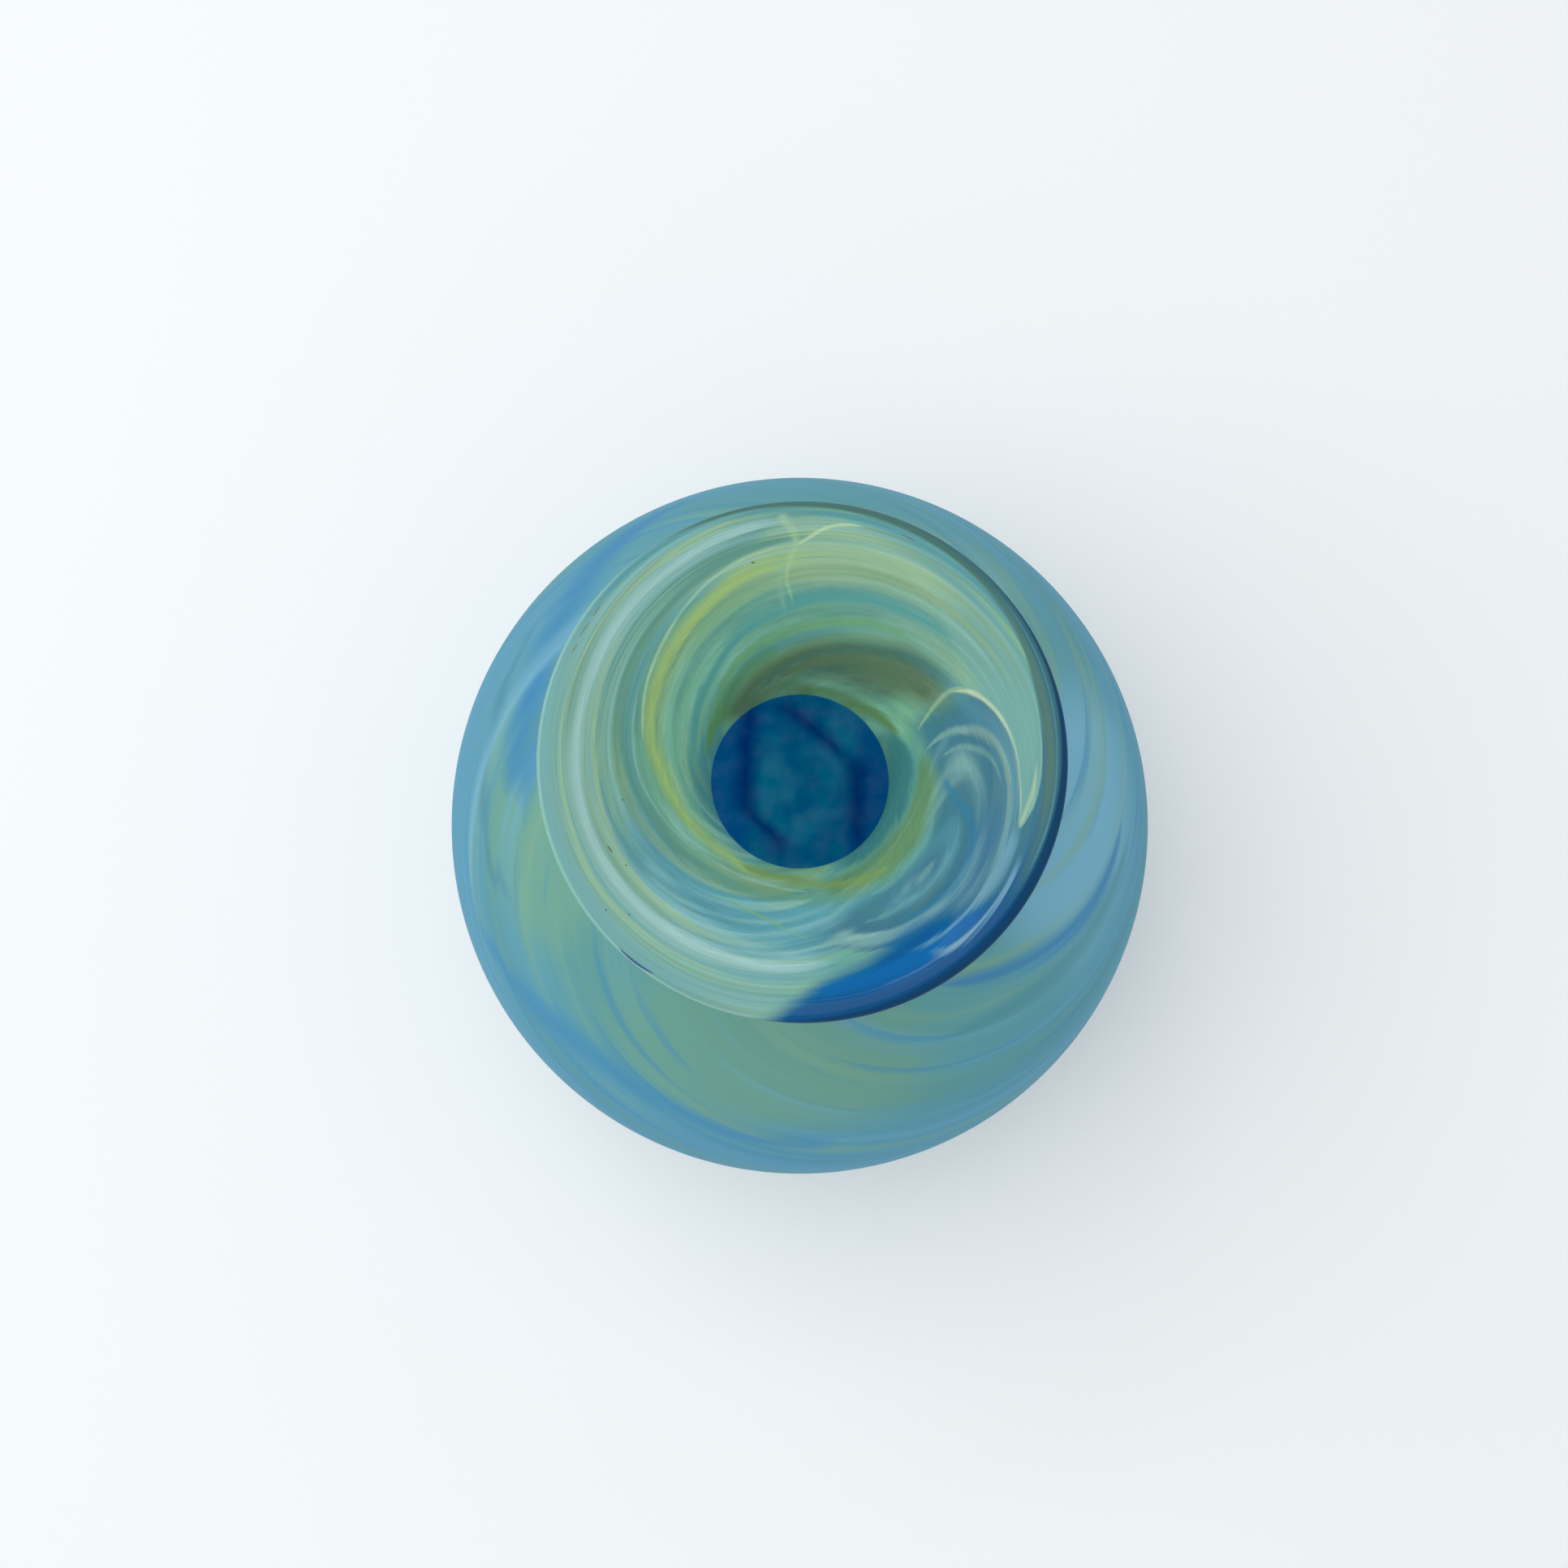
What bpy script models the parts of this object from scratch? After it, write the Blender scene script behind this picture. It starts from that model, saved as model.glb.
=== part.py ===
"""A hand blown art glass vase: a round body under a short neck and a small trumpet mouth.

The glass is built up the way it is gathered at the furnace. A thin inner bubble is overlaid with
trails of coloured glass, cased in an outer gather, wound with a clear wrap at the lip, and sealed
underneath where the pontil rod was cracked off and the mark ground smooth.

Metres, +Z up, origin on the table at the middle of the foot.
"""

import math

import bmesh
import bpy

# Driving sizes of the outer skin
BODY_RADIUS = 0.070  # the round body, at its widest
BODY_CENTRE_HEIGHT = 0.062  # height of the widest line above the table
NECK_RADIUS = 0.0170  # outside of the neck, at its pinch
NECK_HEIGHT = 0.138  # height of the pinch
MOUTH_RADIUS = 0.0380  # outside of the lip
MOUTH_HEIGHT = 0.1618  # height of the outer skin, if it ran on to the end of the lip

# The wall, from the outer skin inwards
CASING_THICKNESS = 0.0011
CHANNEL_DEPTH = 0.0012  # the room between the two gathers, which holds the colour trails
GATHER_THICKNESS = 0.0010
WALL = CASING_THICKNESS + CHANNEL_DEPTH + GATHER_THICKNESS
TRAIL_THICKNESS = 0.0004
SEAM = 0.0003  # clearance between two pieces of glass that meet

# The base, as heights above the table
FOOT_CORNER_RADIUS = 0.003
CASING_FLOOR = 0.0044
GATHER_UNDERSIDE = 0.0056
GATHER_FLOOR = 0.0076
INNER_CORNER_RADIUS = 0.012

# The pontil mark, ground into the middle of the foot
RECESS_RADIUS = 0.0150
RECESS_DEPTH = 0.0029
RECESS_CORNER = 0.0012
PONTIL_RADIUS = 0.0115
PONTIL_UNDERSIDE = 0.0006
PONTIL_CORNER = 0.0006

# The trumpet, a stretch of an ellipse that ends before it is level
FLARE_END = math.radians(68)
LIP_WRAP_REACH = 0.0026  # how far the wrap stands past the ends of the gathers
LIP_WRAP_SEGMENTS = 8

# How finely the shapes are turned and stepped
TURNS = 48
BODY_STEPS = 14
NECK_STEPS = 5
FLARE_STEPS = 6
CORNER_STEPS = 3

# Colour trails climb at a steady angle to the level, like a stripe on twisted glass
TRAIL_CLIMB = math.radians(38)
TRAIL_STATIONS = 44
TRAIL_TIP_SHARE = 0.12  # share of a trail's length over which each end narrows

# name, colour, bearing at the foot (degrees), half width (degrees), start and end up the wall
TRAILS = (
    ("cobalt_trail_1", "cobalt", 12, 3.6, 0.10, 0.97),
    ("cobalt_trail_2", "cobalt", 138, 2.4, 0.09, 0.80),
    ("cobalt_trail_3", "cobalt", 251, 2.8, 0.14, 0.90),
    ("citron_trail_1", "citron", 52, 4.2, 0.12, 0.95),
    ("citron_trail_2", "citron", 178, 4.6, 0.09, 0.88),
    ("citron_trail_3", "citron", 292, 3.4, 0.16, 0.96),
    ("opal_trail_1", "opal", 95, 3.0, 0.13, 0.93),
    ("opal_trail_2", "opal", 214, 3.2, 0.10, 0.96),
    ("opal_trail_3", "opal", 333, 2.6, 0.18, 0.85),
)

# name: linear colour, roughness, how much light passes
FINISHES = {
    "satin_casing": ((0.11, 0.33, 0.43), 0.42, 0.35),
    "glossy_lining": ((0.20, 0.42, 0.38), 0.06, 0.35),
    "clear_wrap": ((0.45, 0.62, 0.60), 0.03, 0.90),
    "ground_pontil": ((0.20, 0.36, 0.42), 0.20, 0.60),
    "cobalt": ((0.01, 0.11, 0.33), 0.10, 0.50),
    "citron": ((0.36, 0.47, 0.14), 0.10, 0.30),
    "opal": ((0.55, 0.70, 0.72), 0.10, 0.20),
}


def clear_scene():
    for obj in list(bpy.data.objects):
        bpy.data.objects.remove(obj, do_unlink=True)


def finish(name):
    """The Principled material of one kind of glass."""
    found = bpy.data.materials.get(name)
    if found:
        return found
    colour, roughness, clearness = FINISHES[name]
    material = bpy.data.materials.new(name)
    material.use_nodes = True
    shader = material.node_tree.nodes["Principled BSDF"]
    shader.inputs["Base Color"].default_value = (*colour, 1.0)
    shader.inputs["Roughness"].default_value = roughness
    shader.inputs["Metallic"].default_value = 0.0
    shader.inputs["Transmission Weight"].default_value = clearness
    return material


def add_object(name, bm, finish_name):
    """One named object from a finished bmesh, with its faces turned outwards."""
    bmesh.ops.remove_doubles(bm, verts=bm.verts, dist=1e-6)
    bmesh.ops.recalc_face_normals(bm, faces=bm.faces)
    mesh = bpy.data.meshes.new(name)
    bm.to_mesh(mesh)
    bm.free()
    mesh.shade_smooth()
    mesh.set_sharp_from_angle(angle=math.radians(35))
    mesh.materials.append(finish(finish_name))
    obj = bpy.data.objects.new(name, mesh)
    bpy.context.scene.collection.objects.link(obj)
    return obj


def turned(name, profile, finish_name, closed=False):
    """A solid of revolution about Z. An open profile starts and ends on the axis."""
    bm = bmesh.new()
    verts = [bm.verts.new((radius, 0.0, height)) for radius, height in profile]
    edges = [bm.edges.new(pair) for pair in zip(verts, verts[1:])]
    if closed:
        edges.append(bm.edges.new((verts[-1], verts[0])))
    bmesh.ops.spin(
        bm,
        geom=verts + edges,
        axis=(0.0, 0.0, 1.0),
        cent=(0.0, 0.0, 0.0),
        steps=TURNS,
        angle=math.tau,
        use_merge=True,
    )
    return add_object(name, bm, finish_name)


def arc(centre, radius, start, end, steps):
    """Points along an arc from one angle to another, both ends included."""
    points = []
    for step in range(steps + 1):
        angle = start + (end - start) * step / steps
        points.append((centre[0] + radius * math.cos(angle), centre[1] + radius * math.sin(angle)))
    return points


def neck_fillet():
    """Radius of the hollow curve at the neck that touches the round body, and its centre."""
    rise = NECK_HEIGHT - BODY_CENTRE_HEIGHT
    gap = NECK_RADIUS**2 + rise**2 - BODY_RADIUS**2
    radius = gap / (2 * (BODY_RADIUS - NECK_RADIUS))
    return radius, (NECK_RADIUS + radius, NECK_HEIGHT)


def body_arc(depth, floor, corner):
    """The round body at a depth below the skin, from where it leaves its flat floor to the neck."""
    sphere = BODY_RADIUS - depth
    centre = (0.0, BODY_CENTRE_HEIGHT)
    drop = BODY_CENTRE_HEIGHT - floor - corner
    corner_centre = (math.sqrt((sphere - corner) ** 2 - drop**2), floor + corner)
    low = math.atan2(-drop, corner_centre[0])
    fillet_radius, fillet_centre = neck_fillet()
    high = math.atan2(fillet_centre[1] - centre[1], fillet_centre[0])
    foot = arc(corner_centre, corner, -math.pi / 2, low, CORNER_STEPS)
    body = arc(centre, sphere, low, high, BODY_STEPS)
    neck = arc(fillet_centre, fillet_radius + depth, high + math.pi, math.pi, NECK_STEPS)
    return foot + body[1:] + neck[1:]


def flare_axes():
    """Half axes of the trumpet's ellipse, so that the lip wrap ends at the mouth's own size."""
    reach = MOUTH_RADIUS - NECK_RADIUS
    rise = MOUTH_HEIGHT - NECK_HEIGHT
    half_width = reach / (1 - math.cos(FLARE_END))
    half_height = rise / math.sin(FLARE_END)
    slope = math.atan2(half_height * math.cos(FLARE_END), half_width * math.sin(FLARE_END))
    reach += WALL / 2 * math.sin(slope)
    half_width = (reach - LIP_WRAP_REACH * math.cos(slope)) / (1 - math.cos(FLARE_END))
    half_height = (rise - LIP_WRAP_REACH * math.sin(slope)) / math.sin(FLARE_END)
    return half_width, half_height


def flare_point(angle, depth):
    """A point on the trumpet at a depth below its outer skin, and the way the wall runs there."""
    half_width, half_height = flare_axes()
    radius = NECK_RADIUS + half_width * (1 - math.cos(angle))
    height = NECK_HEIGHT + half_height * math.sin(angle)
    run, rise = half_width * math.sin(angle), half_height * math.cos(angle)
    length = math.hypot(run, rise)
    run, rise = run / length, rise / length
    return (radius - rise * depth, height + run * depth), (run, rise)


def flare(depth):
    steps = [FLARE_END * step / FLARE_STEPS for step in range(FLARE_STEPS + 1)]
    return [flare_point(angle, depth)[0] for angle in steps]


def wall_line(depth, floor, corner):
    """One surface of the wall, from the edge of its floor up to the end of the trumpet."""
    return body_arc(depth, floor, corner) + flare(depth)[1:]


def recess_line():
    """The ground hollow in the foot, from its middle out to the table."""
    ceiling = arc(
        (RECESS_RADIUS - RECESS_CORNER, RECESS_DEPTH - RECESS_CORNER),
        RECESS_CORNER,
        math.pi / 2,
        0.0,
        CORNER_STEPS,
    )
    return [(0.0, RECESS_DEPTH)] + ceiling + [(RECESS_RADIUS, 0.0)]


def make_outer_casing():
    skin = wall_line(0.0, 0.0, FOOT_CORNER_RADIUS)
    inside = wall_line(CASING_THICKNESS, CASING_FLOOR, INNER_CORNER_RADIUS)
    profile = recess_line() + skin + inside[::-1] + [(0.0, CASING_FLOOR)]
    return turned("outer_casing", profile, "satin_casing")


def make_inner_gather():
    outside = wall_line(CASING_THICKNESS + CHANNEL_DEPTH, GATHER_UNDERSIDE, INNER_CORNER_RADIUS)
    inside = wall_line(WALL, GATHER_FLOOR, INNER_CORNER_RADIUS)
    profile = [(0.0, GATHER_UNDERSIDE)] + outside + inside[::-1] + [(0.0, GATHER_FLOOR)]
    return turned("inner_gather", profile, "glossy_lining")


def make_lip_wrap():
    """The clear thread wound on the end of the trumpet: flat against the gathers, round outside."""
    (radius, height), (run, rise) = flare_point(FLARE_END, WALL / 2)
    profile = []
    for step in range(LIP_WRAP_SEGMENTS + 1):
        angle = -math.pi / 2 + math.pi * step / LIP_WRAP_SEGMENTS
        along = SEAM + (LIP_WRAP_REACH - SEAM) * math.cos(angle)
        across = WALL / 2 * math.sin(angle)
        profile.append((radius + run * along - rise * across, height + rise * along + run * across))
    return turned("lip_wrap", profile, "clear_wrap", closed=True)


def make_pontil_seal():
    """The button of glass that held the pontil rod, ground flat below and let into the foot."""
    top = RECESS_DEPTH - SEAM
    low_edge = arc(
        (PONTIL_RADIUS - PONTIL_CORNER, PONTIL_UNDERSIDE + PONTIL_CORNER),
        PONTIL_CORNER,
        -math.pi / 2,
        0.0,
        CORNER_STEPS,
    )
    profile = [(0.0, PONTIL_UNDERSIDE)] + low_edge + [(PONTIL_RADIUS, top), (0.0, top)]
    return turned("pontil_seal", profile, "ground_pontil")


def lengths_along(points):
    """Distance of each point from the first, along the line."""
    lengths = [0.0]
    for (r0, z0), (r1, z1) in zip(points, points[1:]):
        lengths.append(lengths[-1] + math.hypot(r1 - r0, z1 - z0))
    return lengths


def at_length(points, lengths, length):
    """The point at a distance along the line, and the line's direction there."""
    for index in range(1, len(points)):
        if length <= lengths[index] or index == len(points) - 1:
            (r0, z0), (r1, z1) = points[index - 1], points[index]
            span = lengths[index] - lengths[index - 1]
            share = (length - lengths[index - 1]) / span
            direction = ((r1 - r0) / span, (z1 - z0) / span)
            return (r0 + (r1 - r0) * share, z0 + (z1 - z0) * share), direction


def trail_width_share(progress):
    """How wide a trail is along its length, as a share of its full width."""
    from_end = min(progress, 1 - progress)
    return 0.25 + 0.75 * math.sin(min(1.0, from_end / TRAIL_TIP_SHARE) * math.pi / 2)


def trail_section(bearing, half_width, point, direction):
    """Six corners across a trail: three on its outer face, then three back along its inner face."""
    corners = []
    for side, offset in ((1, (-1, 0, 1)), (-1, (1, 0, -1))):
        lift = side * TRAIL_THICKNESS / 2
        radius = point[0] + direction[1] * lift
        height = point[1] - direction[0] * lift
        for share in offset:
            angle = bearing + share * half_width
            corners.append((radius * math.cos(angle), radius * math.sin(angle), height))
    return corners


def make_trail(name, colour, bearing, half_width, start, end):
    """A ribbon of coloured glass that winds up the wall between the two gathers."""
    middle = CASING_THICKNESS + CHANNEL_DEPTH / 2
    floor = (CASING_FLOOR + GATHER_UNDERSIDE) / 2
    line = wall_line(middle, floor, INNER_CORNER_RADIUS)
    lengths = lengths_along(line)
    total = lengths[-1]
    angle = math.radians(bearing)
    previous = None
    rings = []
    bm = bmesh.new()
    for station in range(TRAIL_STATIONS + 1):
        progress = station / TRAIL_STATIONS
        length = total * (start + (end - start) * progress)
        point, direction = at_length(line, lengths, length)
        if previous is not None:
            angle -= (length - previous) / (point[0] * math.tan(TRAIL_CLIMB))
        previous = length
        width = math.radians(half_width) * trail_width_share(progress)
        rings.append([bm.verts.new(corner) for corner in trail_section(angle, width, point, direction)])
    for lower, upper in zip(rings, rings[1:]):
        for index in range(len(lower)):
            following = (index + 1) % len(lower)
            bm.faces.new((lower[index], lower[following], upper[following], upper[index]))
    bm.faces.new(rings[0])
    bm.faces.new(rings[-1])
    bmesh.ops.triangulate(bm, faces=bm.faces)
    return add_object(name, bm, colour)


def main():
    clear_scene()
    vase = bpy.data.objects.new("vase", None)
    bpy.context.scene.collection.objects.link(vase)
    pieces = [make_outer_casing(), make_inner_gather(), make_lip_wrap(), make_pontil_seal()]
    pieces += [make_trail(*trail) for trail in TRAILS]
    for piece in pieces:
        piece.parent = vase


main()
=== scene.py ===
"""The looks of a hand blown art glass vase, on a pale table in soft window light."""

import math

import bpy
from mathutils import Matrix, Vector


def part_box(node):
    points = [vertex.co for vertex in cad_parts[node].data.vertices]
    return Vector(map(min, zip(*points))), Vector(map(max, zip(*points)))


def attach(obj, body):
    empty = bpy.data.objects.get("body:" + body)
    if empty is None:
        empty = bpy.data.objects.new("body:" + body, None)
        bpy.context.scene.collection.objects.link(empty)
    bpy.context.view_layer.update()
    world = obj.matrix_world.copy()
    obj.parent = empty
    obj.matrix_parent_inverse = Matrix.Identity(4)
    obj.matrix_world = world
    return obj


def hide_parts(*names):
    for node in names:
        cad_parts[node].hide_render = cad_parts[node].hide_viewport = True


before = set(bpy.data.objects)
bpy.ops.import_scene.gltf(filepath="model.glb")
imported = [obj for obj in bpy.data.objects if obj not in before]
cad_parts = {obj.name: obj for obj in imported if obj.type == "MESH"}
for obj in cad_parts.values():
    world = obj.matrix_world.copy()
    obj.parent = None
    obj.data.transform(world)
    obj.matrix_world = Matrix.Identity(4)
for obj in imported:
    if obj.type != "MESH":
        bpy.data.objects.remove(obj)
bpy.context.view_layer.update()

# ---------------------------------------------------------------- sizes, from the frame

CASING_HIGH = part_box("outer_casing")[1]
WRAP_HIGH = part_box("lip_wrap")[1]
PONTIL_LOW, PONTIL_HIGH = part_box("pontil_seal")

BODY_RADIUS = CASING_HIGH[0]
BODY_CENTRE_HEIGHT = 0.062
NECK_RADIUS = 0.0174
NECK_HEIGHT = 0.138
LIP_TOP = WRAP_HIGH[2]
LIP_RADIUS = 0.0380
MOUTH_HEIGHT = 0.1618
CASING_THICKNESS = 0.0011
CHANNEL_DEPTH = 0.0012
GATHER_THICKNESS = 0.0010
WALL = CASING_THICKNESS + CHANNEL_DEPTH + GATHER_THICKNESS
CASING_FLOOR = 0.0044
GATHER_UNDERSIDE = 0.0056
GATHER_FLOOR = 0.0076
FLARE_END = math.radians(68)
CREASE = 0.00012  # from a sharp edge to the ring that keeps it sharp
LIP_REACH = 0.0026  # how far the clear roll stands past the ends of the gathers
LIP_LET_IN = 0.0004  # how far it is let into them, and how much thinner it is there
LIP_SLACK = 0.0001
LIP_TURN = [-math.pi / 2 + math.pi * step / 12 for step in range(13)]  # half a turn round the roll
THROAT_RADIUS = NECK_RADIUS - WALL
POLE = 0.000005  # the last ring of a closed floor, drawn in to a point
WELD = 0.00002
SEGMENTS = 64
SMOOTHING = 2

# ---------------------------------------------------------------- the turned profiles


def swell(step):
    """Smoothing draws a ring of corners in, so the corners of a curve stand out by this much."""
    return 6 / (4 + 2 * math.cos(step))


def arc(centre, radius, start, end, steps):
    """Points along an arc from one angle to another, both ends included."""
    radius *= swell((end - start) / steps)
    angles = [start + (end - start) * step / steps for step in range(steps + 1)]
    return [(centre[0] + radius * math.cos(a), centre[1] + radius * math.sin(a)) for a in angles]


def neck_fillet():
    """Radius and centre of the hollow curve that joins the neck to the round body."""
    rise = NECK_HEIGHT - BODY_CENTRE_HEIGHT
    gap = NECK_RADIUS**2 + rise**2 - BODY_RADIUS**2
    radius = gap / (2 * (BODY_RADIUS - NECK_RADIUS))
    return radius, (NECK_RADIUS + radius, NECK_HEIGHT)


def body_line(depth, floor, corner):
    """The round body at a depth below the skin, from the edge of its flat floor to the neck."""
    sphere = BODY_RADIUS - depth
    centre = (0.0, BODY_CENTRE_HEIGHT)
    drop = BODY_CENTRE_HEIGHT - floor - corner
    corner_centre = (math.sqrt((sphere - corner) ** 2 - drop**2), floor + corner)
    low = math.atan2(-drop, corner_centre[0])
    fillet_radius, fillet_centre = neck_fillet()
    high = math.atan2(fillet_centre[1] - centre[1], fillet_centre[0])
    foot = arc(corner_centre, corner, -math.pi / 2, low, 4)
    body = arc(centre, sphere, low, high, 18)
    neck = arc(fillet_centre, fillet_radius + depth, high + math.pi, math.pi, 6)
    return foot + body[1:] + neck[1:]


def flare_axes():
    """Half axes of the trumpet's ellipse, so that the lip ends at the mouth's own size."""
    reach, rise = LIP_RADIUS - NECK_RADIUS, MOUTH_HEIGHT - NECK_HEIGHT
    slope = math.atan2(rise / math.tan(FLARE_END), reach * math.tan(FLARE_END / 2) ** -1)
    reach += WALL / 2 * math.sin(slope) - LIP_REACH * math.cos(slope)
    rise -= LIP_REACH * math.sin(slope)
    return reach / (1 - math.cos(FLARE_END)), rise / math.sin(FLARE_END)


def flare_point(angle, depth):
    """A point on the trumpet below its outer skin, and the way the wall runs there."""
    half_width, half_height = flare_axes()
    run, rise = half_width * math.sin(angle), half_height * math.cos(angle)
    length = math.hypot(run, rise)
    run, rise = run / length, rise / length
    radius = NECK_RADIUS + half_width * (1 - math.cos(angle)) - rise * depth
    height = NECK_HEIGHT + half_height * math.sin(angle) + run * depth
    return (radius, height), (run, rise)


def wall_line(depth, floor, corner):
    """One surface of the wall, from the edge of its floor up to the end of the trumpet."""
    shares = [step / 9 for step in range(1, 9)] + [0.985, 1.0]
    flare = [flare_point(FLARE_END * share, depth)[0] for share in shares]
    return body_line(depth, floor, corner) + flare


def end_face(outer, inner):
    """Two rings on the cut end of a gather that keep its corners crisp."""
    return [flare_point(FLARE_END, depth)[0] for depth in (outer + CREASE, inner - CREASE)]


# ---------------------------------------------------------------- modelling by hand


def select_none():
    bpy.ops.object.select_all(action="DESELECT")


def turned(name, rings, closed=False):
    """A circle extruded and scaled ring after ring; the ends close in a pole or on each other."""
    select_none()
    (radius, height), *rest = [(r * swell(math.tau / SEGMENTS), z) for r, z in rings]
    bpy.ops.mesh.primitive_circle_add(vertices=SEGMENTS, radius=radius, location=(0, 0, height))
    piece = bpy.context.object
    piece.name = name
    bpy.ops.object.transform_apply(location=True, rotation=True, scale=True)
    bpy.ops.object.mode_set(mode="EDIT")
    bpy.ops.mesh.select_all(action="SELECT")
    for next_radius, next_height in rest:
        step = (0, 0, next_height - height)
        bpy.ops.mesh.extrude_region_move(TRANSFORM_OT_translate={"value": step})
        share = next_radius / radius
        bpy.ops.transform.resize(value=(share, share, 1), center_override=(0, 0, next_height))
        radius, height = next_radius, next_height
    if closed:
        bpy.ops.mesh.select_all(action="DESELECT")
        bpy.ops.mesh.select_non_manifold()
        bpy.ops.mesh.bridge_edge_loops()
    bpy.ops.mesh.select_all(action="SELECT")
    bpy.ops.mesh.remove_doubles(threshold=WELD)
    bpy.ops.mesh.normals_make_consistent(inside=False)
    bpy.ops.object.mode_set(mode="OBJECT")
    bpy.ops.object.shade_smooth()
    return piece


def smoothed(piece):
    select_none()
    piece.select_set(True)
    bpy.context.view_layer.objects.active = piece
    rounder = piece.modifiers.new("smooth glass", "SUBSURF")
    rounder.levels = SMOOTHING
    rounder.render_levels = SMOOTHING
    bpy.ops.object.modifier_apply(modifier=rounder.name)
    return piece


def make_casing():
    skin = wall_line(0.0, 0.0, 0.003)
    inside = wall_line(CASING_THICKNESS, CASING_FLOOR, 0.012)
    recess = [(POLE, 0.0029), (0.008, 0.0029), (0.0132, 0.0028), (0.0143, 0.0024)]
    recess += [(0.0149, 0.0012), (0.0152, 0.0003), (0.0157, 0.0), (0.022, 0.0)]
    floor = [(0.012, CASING_FLOOR), (POLE, CASING_FLOOR)]
    end = end_face(0.0, CASING_THICKNESS)
    return smoothed(turned("outer_casing_glass", recess + skin + end + inside[::-1] + floor))


def make_lining():
    outside_depth = CASING_THICKNESS + CHANNEL_DEPTH
    outside = wall_line(outside_depth, GATHER_UNDERSIDE, 0.012)
    inside = wall_line(WALL, GATHER_FLOOR, 0.012)
    underside = [(POLE, GATHER_UNDERSIDE), (0.012, GATHER_UNDERSIDE)]
    floor = [(0.012, GATHER_FLOOR), (POLE, GATHER_FLOOR)]
    end = end_face(outside_depth, WALL)
    return smoothed(turned("inner_gather_glass", underside + outside + end + inside[::-1] + floor))


def make_lip():
    """The clear roll on the end of the trumpet, let a little into the ends of the gathers."""
    (radius, height), (run, rise) = flare_point(FLARE_END, WALL / 2)
    section = [(LIP_REACH * math.cos(a), math.sin(a)) for a in LIP_TURN]
    section = [(-LIP_LET_IN, -1.0)] + section + [(-LIP_LET_IN, 1.0)]
    rings = []
    for along, side in section:
        across = side * (WALL / 2 - (LIP_SLACK if along < 0 else 0.0))
        rings.append((radius + run * along - rise * across, height + rise * along + run * across))
    return smoothed(turned("lip_roll_glass", rings, closed=True))


def make_pontil():
    low, high, edge = PONTIL_LOW[2], PONTIL_HIGH[2], PONTIL_HIGH[0]
    rings = [(POLE, low), (edge * 0.5, low), (edge - 0.0008, low), (edge - 0.0002, low + 0.0002)]
    rings += [(edge, low + 0.0008), (edge, high - 0.0003), (edge - 0.0003, high), (POLE, high)]
    return smoothed(turned("pontil_glass", rings))


# ---------------------------------------------------------------- writing shaders


class Wire:
    """A shader socket. A sum or a product of wires adds its own node."""

    def __init__(self, glass, socket):
        self.glass = glass
        self.socket = socket

    def __add__(self, other):
        return self.glass.maths("ADD", self, other)

    def __sub__(self, other):
        return self.glass.maths("SUBTRACT", self, other)

    def __rsub__(self, other):
        return self.glass.maths("SUBTRACT", other, self)

    def __mul__(self, other):
        return self.glass.maths("MULTIPLY", self, other)

    def __truediv__(self, other):
        return self.glass.maths("DIVIDE", self, other)

    def __abs__(self):
        return self.glass.maths("ABSOLUTE", self)

    __radd__ = __add__
    __rmul__ = __mul__


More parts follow.
